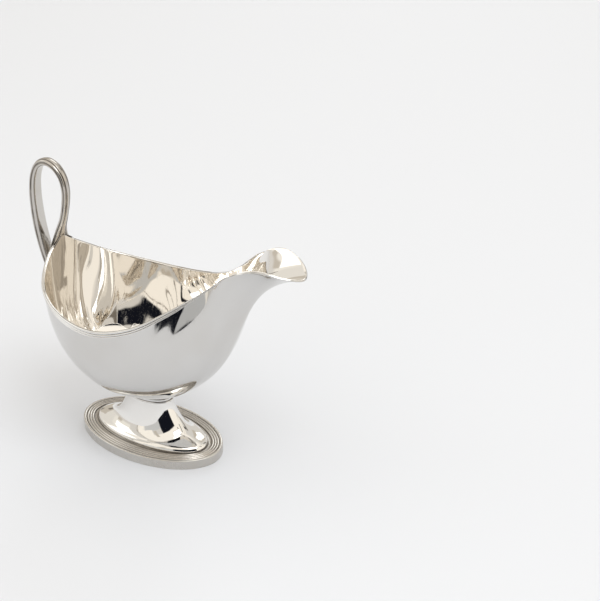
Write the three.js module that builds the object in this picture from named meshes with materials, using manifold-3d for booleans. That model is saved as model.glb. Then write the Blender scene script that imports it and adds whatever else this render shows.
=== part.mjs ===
// A footed silver sauce boat: a raised bowl with a long flared lip, reeded wire round its rim,
// a reeded loop handle, and an oval trumpet foot with a reeded border.
// Millimetres, +Z up, +X towards the lip, +Y to the left of someone who pours.
// The pieces are laid out about the upright through the middle of the foot, and the
// finished group is slid along X so that its origin is under the middle of its outline.

import Module from 'manifold-3d';
import * as THREE from 'three';
import { mergeVertices } from 'three/addons/utils/BufferGeometryUtils.js';

const wasm = await Module();
wasm.setup();

// ---------------------------------------------------------------- driving dimensions

const FOOT_LENGTH = 90; // oval foot, overall
const FOOT_WIDTH = 52;
const BAND_HEIGHT = 5.7; // upright band round the foot
const BAND_THICK = 1.7;
const BORDER_WIDTH = 8.4; // from the foot's edge in to the shoulder of the trumpet
const FLANGE_TOP = 3.9; // the trumpet's flat flange, under the reeded border
const FOOT_WALL = 1;
const COLLAR_BOTTOM = 28.9;
const BOWL_BOTTOM = 32.5;
const NECK = [14.7, 9.1]; // half length and half width of the oval where bowl meets foot
const BOWL_WALL = 0.9;
const BOWL_FLOOR_FROM = 0.86; // share of the wall's depth at which the inner floor begins
const SEAM = 0.25; // solder gap between neighbouring pieces

const RIM_REED_RADII = [0.95, 0.75, 0.55]; // top, middle and bottom reed of the rim wire
const LIP_WIRE_SCALE = 0.45; // the wire is filed down where it goes round the lip
const WIRE_NARROWS = [0.5, 0.82]; // share of the way from peak to lip over which it narrows
const WIRE_END = 0.0015; // the two halves stop this share short of the peak and of the tip

// Half of the rim's edge, from the peak at the handle, along one side, to the tip of the lip.
const RIM_EDGE = [
  [-54.8, 0, 114.3], // peak
  [-54.8, 11.5, 105.6],
  [-47, 26.2, 95.4],
  [-28, 36.6, 89.6],
  [-3, 40.5, 88.8], // widest and lowest
  [18, 35.8, 94.2],
  [34, 25.7, 103.3],
  [45, 17.6, 111],
  [57, 13.3, 120.6], // throat
  [66, 15.3, 128.4],
  [82, 14.5, 135], // top of the lip's raised side
  [96, 8.5, 132],
  [101.3, 0, 129.6], // tip of the lip
];

// How the wall runs from rim to neck, at six even steps along half the rim. It leaves the rim
// as an arm of (outward, forward, down) and reaches the neck as an arm of (outward, up), at
// that bearing round the neck in degrees.
const WALL_STATIONS = [
  { outward: 5, forward: 3, down: 25, reach: 51, lift: 3.5, bearing: 180 },
  { outward: -0.5, forward: 0, down: 27, reach: 27.5, lift: 5.5, bearing: 129 },
  { outward: -1.5, forward: -6.5, down: 31.5, reach: 25.5, lift: 10.5, bearing: 99 },
  { outward: 9, forward: -9, down: 18, reach: 42, lift: 20.5, bearing: 73 },
  { outward: -0.5, forward: -14.5, down: 10, reach: 55.5, lift: 27.5, bearing: 21 },
  { outward: -4, forward: -47.5, down: 15.5, reach: 61, lift: 31.5, bearing: 0 },
];

// Middle line of the handle in the plane of symmetry, from its root on the peak, over the
// top, and down to the back of the bowl: [x, z].
const HANDLE_LINE = [
  [-55.4, 105],
  [-55.3, 111],
  [-54, 117],
  [-51.5, 124],
  [-49.2, 133],
  [-48.2, 141.5],
  [-49.9, 149],
  [-54.3, 154.1],
  [-60.2, 155.6],
  [-65.4, 153],
  [-69, 146.5],
  [-70.7, 137],
  [-70.85, 126],
  [-69.8, 114.5],
  [-67.5, 103],
  [-64.2, 92.5],
  [-60.3, 84],
  [-56.4, 77],
  [-52.6, 72],
];

// Width across the strap and thickness, at even steps along the middle line.
const HANDLE_SECTIONS = [
  { width: 4.8, thick: 2.6 },
  { width: 5, thick: 2.9 },
  { width: 5.6, thick: 3.1 },
  { width: 6.6, thick: 4.4 },
  { width: 7.1, thick: 5.3 },
  { width: 7.4, thick: 5.2 },
  { width: 8, thick: 4.2 },
];
const ROOT_WIDTH = 14.8; // the strap spreads to this where it sits astride the peak
const ROOT_THICK = 2.5;
const ROOT_FOOT = 4; // length of strap, cut away below the rim, that has the full spread
const ROOT_SPREAD = 21; // length over which it narrows again
const ROOT_CURVE = 2.2; // how sharply it narrows
const ROOT_CUT = 10; // length of the V notch filed in the root to fit over the peak
const HANDLE_REEDS = 5;
const HANDLE_FULLNESS = 0.77; // 1 gives half an ellipse, and less a squarer arch
const HANDLE_GROOVE = 0.94; // size of the arch of reeds at its grooves
const HANDLE_REED_RISE = 0.09; // how much the reeds stand above them

const PAD_HEIGHT = 17; // plate that carries the handle's lower end
const PAD_WIDTH = 13;
const PAD_THICK = 1;
const PAD_MIDDLE = 75; // height of its middle

const BORDER_REEDS = 3;
const BORDER_REED = 0.72; // radius of one reed
const BORDER_SEAT = 0.7; // plain strip inside the reeds
const BAND_ROUNDING = 0.6; // height of the rounded top edge of the band

// Upper line of the trumpet from its shoulder up to the collar: [half length, height].
const TRUMPET_LINE = [
  [36.2, 6],
  [35.2, 7.3],
  [32.9, 8.3],
  [29.6, 9.3],
  [26, 10.9],
  [22.8, 13.2],
  [20.1, 16.2],
  [17.9, 19.6],
  [16.2, 23],
  [15.1, 26],
];

const COLLAR_BEAD = 0.5; // height of the fine bead round its lower edge
const COLLAR_WALL = 1.8;

// ---------------------------------------------------------------- how finely things are cut

const AROUND_BOWL = 96;
const DOWN_BOWL = 14;
const AROUND_FOOT = 56;
const ALONG_HANDLE = 46;
const REED_STEPS = 3;
const ROOT_CROWDING = 1.35; // above 1, the handle's cuts crowd towards its root

// ---------------------------------------------------------------- materials

function silver(colour, roughness) {
  return new THREE.MeshStandardMaterial({ color: colour, roughness, metalness: 1 });
}

// ---------------------------------------------------------------- lofting

// Joins a list of closed loops, each with the same number of points, into one closed body.
// Without `ring` the first and last loops are capped; with it the last joins the first.
function loft(loops, ring = false) {
  const count = loops[0].length;
  const points = loops.flat();
  const index = [];
  const bands = ring ? loops.length : loops.length - 1;
  for (let row = 0; row < bands; row += 1) {
    const next = (row + 1) % loops.length;
    for (let k = 0; k < count; k += 1) {
      const after = (k + 1) % count;
      const a = row * count + k;
      const b = row * count + after;
      const c = next * count + after;
      const d = next * count + k;
      index.push(a, b, c, a, c, d);
    }
  }
  if (!ring) {
    for (const [loop, first, turned] of [
      [loops[0], 0, true],
      [loops[loops.length - 1], (loops.length - 1) * count, false],
    ]) {
      const middle = new THREE.Vector3();
      loop.forEach((point) => middle.addScaledVector(point, 1 / count));
      points.push(middle);
      for (let k = 0; k < count; k += 1) {
        const a = first + k;
        const b = first + ((k + 1) % count);
        index.push(points.length - 1, turned ? b : a, turned ? a : b);
      }
    }
  }
  const geometry = new THREE.BufferGeometry().setFromPoints(points);
  geometry.setIndex(signedVolume(points, index) < 0 ? index.reverse() : index);
  geometry.computeVertexNormals();
  return geometry;
}

function signedVolume(points, index) {
  let total = 0;
  for (let k = 0; k < index.length; k += 3) {
    const [a, b, c] = [points[index[k]], points[index[k + 1]], points[index[k + 2]]];
    total += a.dot(new THREE.Vector3().crossVectors(b, c)) / 6;
  }
  return total;
}

function toSolid(geometry) {
  const bare = geometry.clone();
  bare.deleteAttribute('normal');
  bare.deleteAttribute('uv');
  const merged = mergeVertices(bare, 1e-4);
  return new wasm.Manifold(new wasm.Mesh({
    numProp: 3,
    vertProperties: new Float32Array(merged.attributes.position.array),
    triVerts: new Uint32Array(merged.index.array),
  }));
}

function toGeometry(solid) {
  const { vertProperties, triVerts } = solid.getMesh();
  const geometry = new THREE.BufferGeometry();
  geometry.setAttribute('position', new THREE.BufferAttribute(vertProperties, 3));
  geometry.setIndex(Array.from(triVerts));
  geometry.computeVertexNormals();
  return geometry;
}

function named(name, geometry, material) {
  const mesh = new THREE.Mesh(geometry, material);
  mesh.name = name;
  return mesh;
}

// Catmull-Rom blend of one property of a list of even stations, at `along` from 0 to 1.
// `before` and `beyond` give the values just outside the two ends.
function blend(stations, key, along, before, beyond) {
  const values = [before, ...stations.map((station) => station[key]), beyond];
  const place = Math.min(Math.max(along, 0), 1) * (stations.length - 1);
  const first = Math.min(Math.floor(place), stations.length - 2);
  const s = place - first;
  const [a, b, c, d] = values.slice(first, first + 4);
  return b + 0.5 * s * (c - a + s * (2 * a - 5 * b + 4 * c - d + s * (3 * (b - c) + d - a)));
}

// ---------------------------------------------------------------- the bowl's wall

const mirrored = RIM_EDGE.slice(0, -1).reverse().map(([x, y, z]) => [x, -y, z]);
const rimCurve = new THREE.CatmullRomCurve3(
  [...RIM_EDGE, ...mirrored].map((point) => new THREE.Vector3(...point)),
  false,
  'centripetal',
);
rimCurve.arcLengthDivisions = 600;

function wallSetting(key, along) {
  const inner = WALL_STATIONS[1][key];
  const beyond = WALL_STATIONS[WALL_STATIONS.length - 2][key];
  if (key === 'bearing') {
    return blend(WALL_STATIONS, key, along, 2 * 180 - inner, -beyond);
  }
  return blend(WALL_STATIONS, key, along, inner, beyond);
}

// The wall's outside on the +Y half. `along` runs from 0 at the peak to 1 at the tip of the
// lip, and `down` from 0 at the rim to 1 at the neck.
function wallPoint(along, down) {
  const edge = rimCurve.getPointAt(along / 2);
  const run = rimCurve.getTangentAt(along / 2);
  const outward = new THREE.Vector3(-run.y, along > 0 && along < 1 ? run.x : 0, 0).normalize();
  const bearing = THREE.MathUtils.degToRad(wallSetting('bearing', along));
  const neckOutward = new THREE.Vector3(Math.cos(bearing), Math.sin(bearing), 0);
  const neck = new THREE.Vector3(NECK[0] * neckOutward.x, NECK[1] * neckOutward.y, BOWL_BOTTOM);
  const fromRim = edge.clone().addScaledVector(outward, wallSetting('outward', along));
  fromRim.x += wallSetting('forward', along);
  fromRim.z -= wallSetting('down', along);
  const fromNeck = neck.clone().addScaledVector(neckOutward, wallSetting('reach', along));
  fromNeck.z += wallSetting('lift', along);
  return new THREE.CubicBezierCurve3(edge, fromRim, fromNeck, neck).getPoint(down);
}

// Outward normal of the wall, from two short steps on it.
function wallNormal(along, down) {
  const step = 1e-3;
  const low = Math.max(along - step, 0);
  const high = Math.min(along + step, 1);
  const top = Math.max(down - step, 0);
  const foot = Math.min(down + step, 1);
  const round = wallPoint(high, down).sub(wallPoint(low, down));
  const fall = wallPoint(along, foot).sub(wallPoint(along, top));
  const normal = round.cross(fall).normalize();
  if (low === 0 || high === 1) {
    normal.y = 0;
  }
  return normal.normalize();
}

// A whole loop round the boat from a function that gives the points of its +Y half.
function loopOf(half, count) {
  const side = [];
  for (let k = 0; k <= count / 2; k += 1) {
    side.push(half((2 * k) / count));
  }
  const other = side.slice(1, -1).reverse().map((p) => new THREE.Vector3(p.x, -p.y, p.z));
  side[0].y = 0;
  side[side.length - 1].y = 0;
  return [...side, ...other];
}

function bowl() {
  const outside = [];
  const inside = [];
  for (let k = 0; k <= DOWN_BOWL; k += 1) {
    const down = k / DOWN_BOWL;
    outside.push(loopOf((along) => wallPoint(along, down), AROUND_BOWL));
    inside.push(loopOf((along) => {
      const depth = down * BOWL_FLOOR_FROM;
      return wallPoint(along, depth).addScaledVector(wallNormal(along, depth), -BOWL_WALL);
    }, AROUND_BOWL));
  }
  outside.push(outside[DOWN_BOWL].map((p) => new THREE.Vector3(p.x / 2, p.y / 2, p.z)));
  const floor = BOWL_BOTTOM + BOWL_WALL;
  for (const spread of [0.75, 0.5, 0.25]) {
    inside.push(inside[DOWN_BOWL].map((p) => new THREE.Vector3(
      p.x * spread,
      p.y * spread,
      floor + (p.z - floor) * spread * spread,
    )));
  }
  return loft([...outside.reverse(), ...inside]);
}

// ---------------------------------------------------------------- the rim's reeded wire

// Full size round the bowl, then narrowing through the throat to the lip.
function rimWireScale(along) {
  const fade = THREE.MathUtils.smoothstep(along, ...WIRE_NARROWS);
  return THREE.MathUtils.lerp(1, LIP_WIRE_SCALE, fade);
}

// The wire's cross-section where it sits on the wall, as [distance below the rim, stand-off].
function rimWireSection(scale) {
  const section = [];
  let top = -0.05;
  for (const radius of RIM_REED_RADII) {
    for (let k = 0; k <= REED_STEPS; k += 1) {
      const turn = (Math.PI * (k + 0.5)) / (REED_STEPS + 1);
      section.push([
        (top + radius * (1 - Math.cos(turn))) * scale,
        SEAM + radius * Math.sin(turn) * scale,
      ]);
    }
    top += 2 * radius;
  }
  section.push([top * scale, SEAM], [0, SEAM]);
  return section;
}

// The wire lies along the straight line of the wall's first step down from the rim.
function rimWire(side) {
  const loops = [];
  const steps = AROUND_BOWL / 2;
  for (let k = 0; k <= steps; k += 1) {
    const along = THREE.MathUtils.clamp(k / steps, WIRE_END, 1 - WIRE_END);
    const edge = wallPoint(along, 0);
    const fall = wallPoint(along, 1 / DOWN_BOWL).sub(edge).normalize();
    const out = wallNormal(along, 0.5 / DOWN_BOWL);
    loops.push(rimWireSection(rimWireScale(along)).map(([below, stand]) => {
      const point = edge.clone().addScaledVector(fall, below).addScaledVector(out, stand);
      point.y *= side;
      return point;
    }));
  }
  return loft(loops);
}

// ---------------------------------------------------------------- the handle

const handleCurve = new THREE.CatmullRomCurve3(
  HANDLE_LINE.map(([x, z]) => new THREE.Vector3(x, 0, z)),
  false,
  'centripetal',
);

function handleSize(key, along) {
  const last = HANDLE_SECTIONS.length - 1;
  return blend(HANDLE_SECTIONS, key, along, HANDLE_SECTIONS[0][key], HANDLE_SECTIONS[last][key]);
}

// Width and thickness at a place along the handle, with the spread root worked in.
function handleSpan(along) {
  const distance = along * handleCurve.getLength();
  const left = THREE.MathUtils.clamp(1 - (distance - ROOT_FOOT) / ROOT_SPREAD, 0, 1);
  const spread = left ** ROOT_CURVE;
  return {
    width: THREE.MathUtils.lerp(handleSize('width', along), ROOT_WIDTH, spread),
    thick: THREE.MathUtils.lerp(handleSize('thick', along), ROOT_THICK, spread),
  };
}

// Flat on the inside of the loop, and an arch of equal reeds on the outside:
// [across the strap, out from the loop].
function handleSection(width, thick) {
  const section = [];
  for (let reed = 0; reed < HANDLE_REEDS; reed += 1) {
    for (let k = 0; k < REED_STEPS; k += 1) {
      const place = (reed + (k + 0.5) / REED_STEPS) / HANDLE_REEDS;
      const turn = Math.PI * place;
      const rise = HANDLE_REED_RISE * Math.sin((Math.PI * (k + 0.5)) / REED_STEPS);
      const ridge = HANDLE_GROOVE + rise;
      const side = Math.sign(Math.cos(turn)) * Math.abs(Math.cos(turn)) ** HANDLE_FULLNESS;
      const crown = Math.sin(turn) ** HANDLE_FULLNESS;
      section.push([-side * 0.5 * width * ridge, (crown * ridge - 0.5) * thick]);
    }
  }
  return section;
}

function handleLoop() {
  const loops = [];
  for (let k = 0; k <= ALONG_HANDLE; k += 1) {
    const along = (k / ALONG_HANDLE) ** ROOT_CROWDING;
    const middle = handleCurve.getPointAt(along);
    const run = handleCurve.getTangentAt(along);
    const out = new THREE.Vector3(run.z, 0, -run.x); // away from the inside of the loop
    const { width, thick } = handleSpan(along);
    const section = handleSection(width, thick);
    loops.push(section.map(([across, rise]) => {
      const point = middle.clone().addScaledVector(out, rise);
      point.y = across;
      return point;
    }));
  }
  const strap = toSolid(loft(loops)).subtract(toSolid(belowPeak()));
  return toGeometry(strap.subtract(toSolid(platePiece(PAD_CLEARANCE))));
}

// Everything under the V of the rim at the peak, as a prism along X.
function belowPeak() {
  const outline = new THREE.Shape();
  const edge = [];
  for (let k = 0; k <= 8; k += 1) {
    const { y, z } = rimCurve.getPointAt(k / 160);
    edge.push([y, z + SEAM]);
  }
  const [side, low] = edge[edge.length - 1];
  outline.moveTo(-side, low - ROOT_CUT);
  outline.lineTo(side, low - ROOT_CUT);
  edge.reverse().forEach(([y, z]) => outline.lineTo(y, z));
  edge.reverse().slice(1).forEach(([y, z]) => outline.lineTo(-y, z));
  const prism = new THREE.ExtrudeGeometry(outline, { depth: ROOT_CUT, bevelEnabled: false });
  prism.rotateX(Math.PI / 2);
  prism.rotateZ(Math.PI / 2);
  prism.translate(HANDLE_LINE[0][0] - ROOT_CUT / 2, 0, 0);
  return prism;
}

// Rings from the middle of an oval plate's inner face, round its edge, to the middle of its
// outer face: [share of the pad's size, stand-off from the bowl].
const PAD_TOP = SEAM + PAD_THICK;
const PAD_RINGS = [
  [0.2, SEAM],
  [0.6, SEAM],
  [1, SEAM],
  [1, SEAM + 0.6 * PAD_THICK],
  [0.85, PAD_TOP],
  [0.5, PAD_TOP],
  [0.2, PAD_TOP],
];
const PAD_CLEARANCE = [
  [0.2, -5],
  [1.2, -5],
  [1.2, PAD_TOP + SEAM],
  [0.85, PAD_TOP + SEAM],
  [0.5, PAD_TOP + SEAM],
  [0.2, PAD_TOP + SEAM],
];

// An oval plate that follows the back of the bowl.
function platePiece(rings) {
  const around = 20;
  const loops = [];
  for (const [size, stand] of rings) {
    const loop = [];
    for (let k = 0; k < around; k += 1) {
      const turn = (2 * Math.PI * k) / around;
      const across = (PAD_WIDTH / 2) * size * Math.cos(turn);
      const height = PAD_MIDDLE + (PAD_HEIGHT / 2) * size * Math.sin(turn);
      loop.push(backPoint(across, height, stand));
    }
    loops.push(loop);
  }
  return loft(loops);
}

// Repeated halving: where `value`, which grows with its argument, reaches `target`.
function solve(value, target, low, high) {
  for (let k = 0; k < 24; k += 1) {
    const middle = (low + high) / 2;
    if (value(middle) < target) {
      low = middle;
    } else {
      high = middle;
    }
  }
  return low;
}

// The point `stand` outside the back of the bowl, at a place across and a height.
function backPoint(across, height, stand) {
  const downAt = (along) => solve((down) => -wallPoint(along, down).z, -height, 0, 1);
  const along = solve((place) => wallPoint(place, downAt(place)).y, Math.abs(across), 0, 0.3);
  const down = downAt(along);
  const point = wallPoint(along, down).addScaledVector(wallNormal(along, down), stand);
  point.y = Math.sign(across) * Math.abs(point.y);
  return point;
}

// ---------------------------------------------------------------- the foot

// An oval loop whose half length is `half`. Near the edge of the foot the ovals keep an even
// distance from it, and inside the shoulder they change steadily to the oval of the neck.
function footOval(half, height) {
  const shoulder = FOOT_LENGTH / 2 - BORDER_WIDTH;
  let cross = FOOT_WIDTH / 2 - (FOOT_LENGTH / 2 - half);
  if (half < shoulder) {
    const inward = (shoulder - half) / (shoulder - NECK[0]);
    cross = THREE.MathUtils.lerp(FOOT_WIDTH / 2 - BORDER_WIDTH, NECK[1], inward);
  }
  const loop = [];
  for (let k = 0; k < AROUND_FOOT; k += 1) {
    const turn = (2 * Math.PI * k) / AROUND_FOOT;
    loop.push(new THREE.Vector3(half * Math.cos(turn), cross * Math.sin(turn), height));
  }
  return loop;
}

function ringOf(section) {
  return loft(section.map(([half, height]) => footOval(half, height)), true);
}

const EDGE = FOOT_LENGTH / 2;

function baseBand() {
  const inner = EDGE - BAND_THICK;
  const crown = EDGE - BAND_THICK / 2;
  const quarter = BAND_THICK / 4;
  return ringOf([
    [EDGE, 0],
    [EDGE, BAND_HEIGHT - BAND_ROUNDING],
    [crown + quarter, BAND_HEIGHT - BAND_ROUNDING / 6],
    [crown, BAND_HEIGHT],
    [crown - quarter, BAND_HEIGHT - BAND_ROUNDING / 6],
    [inner, BAND_HEIGHT - BAND_ROUNDING],
    [inner, 0],
  ]);
}

function reededBorder() {
  const outer = EDGE - BAND_THICK - SEAM;
  const inner = EDGE - BORDER_WIDTH + SEAM;
  const bottom = FLANGE_TOP + SEAM;
  const seat = bottom + BORDER_SEAT;
  const section = [[outer, bottom]];
  for (let count = 0; count < BORDER_REEDS; count += 1) {
    const middle = outer - BORDER_REED * (2 * count + 1);
    for (let k = 0; k <= REED_STEPS; k += 1) {
      const turn = (Math.PI * (k + 0.5)) / (REED_STEPS + 1);
      section.push([
        middle + BORDER_REED * Math.cos(turn),
        seat + BORDER_REED * Math.sin(turn),
      ]);
    }
  }
  section.push([outer - 2 * BORDER_REED * BORDER_REEDS, seat], [inner, seat], [inner, bottom]);
  return ringOf(section);
}

// The trumpet's upper face from its flange, over the shoulder and up to the collar, with the
// same line set in by the wall as its underside.
function pedestal() {
  const top = [
    [EDGE - BAND_THICK - SEAM, FLANGE_TOP],
    [EDGE - BORDER_WIDTH, FLANGE_TOP],
    ...TRUMPET_LINE,
    [NECK[0] - 0.1, COLLAR_BOTTOM - SEAM],
  ];
  const under = top.map(([half, height], k) => {
    const [a, b] = [top[Math.max(k - 1, 0)], top[Math.min(k + 1, top.length - 1)]];
    const [run, rise] = [b[0] - a[0], b[1] - a[1]];
    const length = Math.hypot(run, rise);
    return [half - (rise / length) * FOOT_WALL, height + (run / length) * FOOT_WALL];
  });
  under[under.length - 1][1] = COLLAR_BOTTOM - SEAM;
  return ringOf([...top, ...under.reverse()]);
}

// A short ring between foot and bowl: a fine bead, a hollow, and a second bead on top.
function collar() {
  const face = NECK[0] - 0.1;
  const inner = face - COLLAR_WALL;
  const top = BOWL_BOTTOM - SEAM;
  return ringOf([
    [inner, COLLAR_BOTTOM],
    [face, COLLAR_BOTTOM],
    [face + 0.35, COLLAR_BOTTOM + COLLAR_BEAD / 2],
    [face, COLLAR_BOTTOM + COLLAR_BEAD],
    [face - 0.2, COLLAR_BOTTOM + 1.3],
    [face - 0.1, top - 0.9],
    [face + 0.4, top - 0.45],
    [face - 0.1, top],
    [inner, top],
  ]);
}

// ---------------------------------------------------------------- assembly

const boat = new THREE.Group();
boat.add(
  named('bowl', bowl(), silver(0xd2cec6, 0.12)),
  named('rim_reeding_left', rimWire(1), silver(0xcbc6bd, 0.18)),
  named('rim_reeding_right', rimWire(-1), silver(0xcbc6bd, 0.18)),
  named('handle_loop', handleLoop(), silver(0xa59b8f, 0.25)),
  named('handle_lower_pad', platePiece(PAD_RINGS), silver(0xa59b8f, 0.25)),
  named('foot_collar', collar(), silver(0xcbc6bd, 0.16)),
  named('foot_pedestal', pedestal(), silver(0xd0ccc4, 0.12)),
  named('foot_reeded_border', reededBorder(), silver(0xb5aca0, 0.22)),
  named('foot_base_band', baseBand(), silver(0xc0bab0, 0.25)),
);

const outline = new THREE.Box3().setFromObject(boat);
boat.position.x = -(outline.min.x + outline.max.x) / 2;

const sauceBoat = new THREE.Group();
sauceBoat.add(boat);

export default sauceBoat;
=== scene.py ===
"""A footed silver sauce boat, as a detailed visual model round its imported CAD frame.

Sizes are in millimetres about the upright through the middle of the foot, with +X towards the
lip, and place() turns them into the frame's metres. Round the bowl, a place `around` is 0 at
the peak under the handle, 1 at the tip of the lip and 2 back at the peak; `down` is 0 at the
rim and 1 at the neck.
"""

import math

import bpy
import numpy as np
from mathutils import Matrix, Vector


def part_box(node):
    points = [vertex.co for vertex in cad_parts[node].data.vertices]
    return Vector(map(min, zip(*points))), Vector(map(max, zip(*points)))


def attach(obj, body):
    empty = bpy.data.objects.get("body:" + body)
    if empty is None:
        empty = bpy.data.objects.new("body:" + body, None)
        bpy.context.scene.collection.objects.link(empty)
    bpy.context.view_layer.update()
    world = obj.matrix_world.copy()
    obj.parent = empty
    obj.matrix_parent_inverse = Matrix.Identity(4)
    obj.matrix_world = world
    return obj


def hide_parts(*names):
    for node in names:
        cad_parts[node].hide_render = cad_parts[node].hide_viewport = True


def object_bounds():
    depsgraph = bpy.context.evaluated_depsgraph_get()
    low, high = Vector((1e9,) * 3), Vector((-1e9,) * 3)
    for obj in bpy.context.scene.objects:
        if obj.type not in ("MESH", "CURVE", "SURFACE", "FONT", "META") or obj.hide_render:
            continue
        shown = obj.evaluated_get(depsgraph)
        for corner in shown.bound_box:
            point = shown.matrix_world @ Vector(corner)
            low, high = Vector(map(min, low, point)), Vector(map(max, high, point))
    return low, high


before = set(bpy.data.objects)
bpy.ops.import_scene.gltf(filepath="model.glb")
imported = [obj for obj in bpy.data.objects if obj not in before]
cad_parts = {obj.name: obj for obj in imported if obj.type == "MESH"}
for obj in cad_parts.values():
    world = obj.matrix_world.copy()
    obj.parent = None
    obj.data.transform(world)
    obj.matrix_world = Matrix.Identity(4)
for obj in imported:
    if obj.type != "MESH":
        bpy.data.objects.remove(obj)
cad_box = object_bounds()
boat_middle = (cad_box[0] + cad_box[1]) / 2

# ------------------------------------------------------------------ driving dimensions

MM = 0.001
BODY = "root"

band_low, band_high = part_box("foot_base_band")
FOOT_MIDDLE = (band_low.x + band_high.x) / 2  # metres
FOOT_LENGTH = (band_high.x - band_low.x) / MM
FOOT_WIDTH = (band_high.y - band_low.y) / MM
BAND_HEIGHT = (band_high.z - band_low.z) / MM
BOWL_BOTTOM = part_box("bowl")[0].z / MM
COLLAR_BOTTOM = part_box("foot_collar")[0].z / MM

BAND_THICK = 1.7
BAND_CROWN = 0.6  # height of the band's rounded top
BAND_EDGE_RADIUS = 0.25  # rounding of the edge that it stands on
BORDER_WIDTH = 8.4  # from the foot's edge in to the shoulder of the trumpet
FLANGE_TOP = 3.9
FOOT_WALL = 1.0
FOOT_DENT = 0.02  # depth of the slow waves in the trumpet
NECK = (14.7, 9.1)  # half length and half width of the oval where bowl meets foot
BOWL_WALL = 0.9
FLOOR_FROM = 0.86  # share of the wall's depth at which the inner floor begins
LIP_ENDS = 0.012  # share of the wall's depth at which the rounding of its edge ends
BOTTOM_RINGS = (0.35, 0.75)  # sizes, against the neck, of the rings across the bowl's underside
OUTER_DENT = 0.018  # depth of the slow waves left in the hand-raised sheet
INNER_DENT = 0.042
SINK = 0.15  # how far soldered pieces run into each other
NODE_GAP = 0.25  # how far the frame's nodes stay apart

# Half of the rim's edge, from the peak at the handle, along one side, to the tip of the lip.
RIM_EDGE = [
    (-54.8, 0, 114.3),
    (-54.8, 11.5, 105.6),
    (-47, 26.2, 95.4),
    (-28, 36.6, 89.6),
    (-3, 40.5, 88.8),
    (18, 35.8, 94.2),
    (34, 25.7, 103.3),
    (45, 17.6, 111),
    (57, 13.3, 120.6),
    (66, 15.3, 128.4),
    (82, 14.5, 135),
    (96, 8.5, 132),
    (101.3, 0, 129.6),
]

# How the wall runs from rim to neck, at even steps from the peak to the tip of the lip. It
# leaves the rim as an arm of (outward, forward, down) and reaches the neck as an arm of
# (reach, lift), at that bearing round the neck in degrees.
WALL = {
    "outward": [5, -0.5, -1.5, 9, -0.5, -4],
    "forward": [3, 0, -6.5, -9, -14.5, -47.5],
    "down": [25, 27, 31.5, 18, 10, 15.5],
    "reach": [51, 27.5, 25.5, 42, 55.5, 61],
    "lift": [3.5, 5.5, 10.5, 20.5, 27.5, 31.5],
    "bearing": [180, 129, 99, 73, 21, 0],
}

# Middle line of the handle, from its root on the peak, over the top, down to the bowl: (x, z).
HANDLE_LINE = [
    (-55.4, 105),
    (-55.3, 111),
    (-54, 117),
    (-51.5, 124),
    (-49.2, 133),
    (-48.2, 141.5),
    (-49.9, 149),
    (-54.3, 154.1),
    (-60.2, 155.6),
    (-65.4, 153),
    (-69, 146.5),
    (-70.7, 137),
    (-70.85, 126),
    (-69.8, 114.5),
    (-67.5, 103),
    (-64.2, 92.5),
    (-60.3, 84),
    (-56.4, 77),
    (-52.6, 72),
]
# Width and thickness of the strap at even steps along that line.
HANDLE_WIDTH = [4.8, 5, 5.6, 6.6, 7.1, 7.4, 8]
HANDLE_THICK = [2.6, 2.9, 3.1, 4.4, 5.3, 5.2, 4.2]
HANDLE_FULLNESS = 0.77  # 1 gives half an ellipse, and less a squarer arch
ROOT_WIDTH = 14.8
ROOT_THICK = 2.5
ROOT_FOOT = 4  # length of strap that keeps the root's full width
ROOT_SPREAD = 21  # length over which the root narrows to the strap
ROOT_CURVE = 2.2  # 1 narrows evenly, and more narrows sooner
HANDLE_REEDS = 5
REED_GROOVE = 0.91  # size of the strap's arch in a groove, against the plain arch
REED_RISE = 0.12  # how much a reed's crown adds to that
HANDLE_WIDEST = -0.2  # share of the thickness, from its middle, at which the strap is widest
HANDLE_WRAP = math.radians(38)  # how far the reeds wrap under that
ROOT_WITHIN = 0.15  # the rim cuts the strap within this share of its line
PAD_BEYOND = 0.88  # and the pad cuts it past this share
BACK_OF_BOWL = 0.3  # how far round from the peak the pad's side of the bowl reaches
INNER_CROWN = 0.04  # rise of the strap's inner face, as a share of its thickness
JOINT_SHADOW_FADE = 0.7  # length over which the dark seam at the root fades: partly the seam, partly a painted shadow line where the root meets the rim
REED_TARNISH = 0.1  # groove value of the reeds at the root
REED_DARKENING_GAIN = 0.24  # what is added by the handle's lower end, which is made darker
FACE_TARNISH = 0.08

PAD_HEIGHT = 17
PAD_WIDTH = 13
PAD_THICK = 1
PAD_MIDDLE = 75  # height of its middle
PAD_REACH = PAD_HEIGHT / 2 + 0.5

SOLDER_PLACE = -54.0  # along X, at the handle's root
SOLDER_RADIUS = 0.42
SOLDER_RISE = 0.1  # above the rim's edge

RIM_REED_RADII = (0.95, 0.75, 0.55)  # from the top reed down
RIM_WIRE_RISE = 0.3  # how far the top reed stands above the wall's edge
RIM_WIRE_GAP = 0.002  # how far round the bowl the two halves stop short of the peak and the tip
LIP_WIRE_SCALE = 0.45  # size of the wire at the tip of the lip
WIRE_NARROWS = (0.5, 0.82)  # the stretch, from peak to tip, over which it gets that small

BORDER_REEDS = 3
BORDER_REED = 0.72  # radius
BORDER_SEAT = 0.7  # height of the plain metal under the reeds

COLLAR_DEPTH = 1.8  # from its face in to its inner side
COLLAR_BEAD = 0.42  # radius
COLLAR_CREASE = 0.8  # groove value beside the beads

# Upper line of the trumpet from its shoulder to the collar: (half length, height).
TRUMPET_LINE = [
    (36.6, 4.6),
    (36.2, 6),
    (35.2, 7.3),
    (32.9, 8.3),
    (29.6, 9.3),
    (26, 10.9),
    (22.8, 13.2),
    (20.1, 16.2),
    (17.9, 19.6),
    (16.2, 23),
    (15.1, 26),
    (14.6, 28.9),
]

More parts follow.
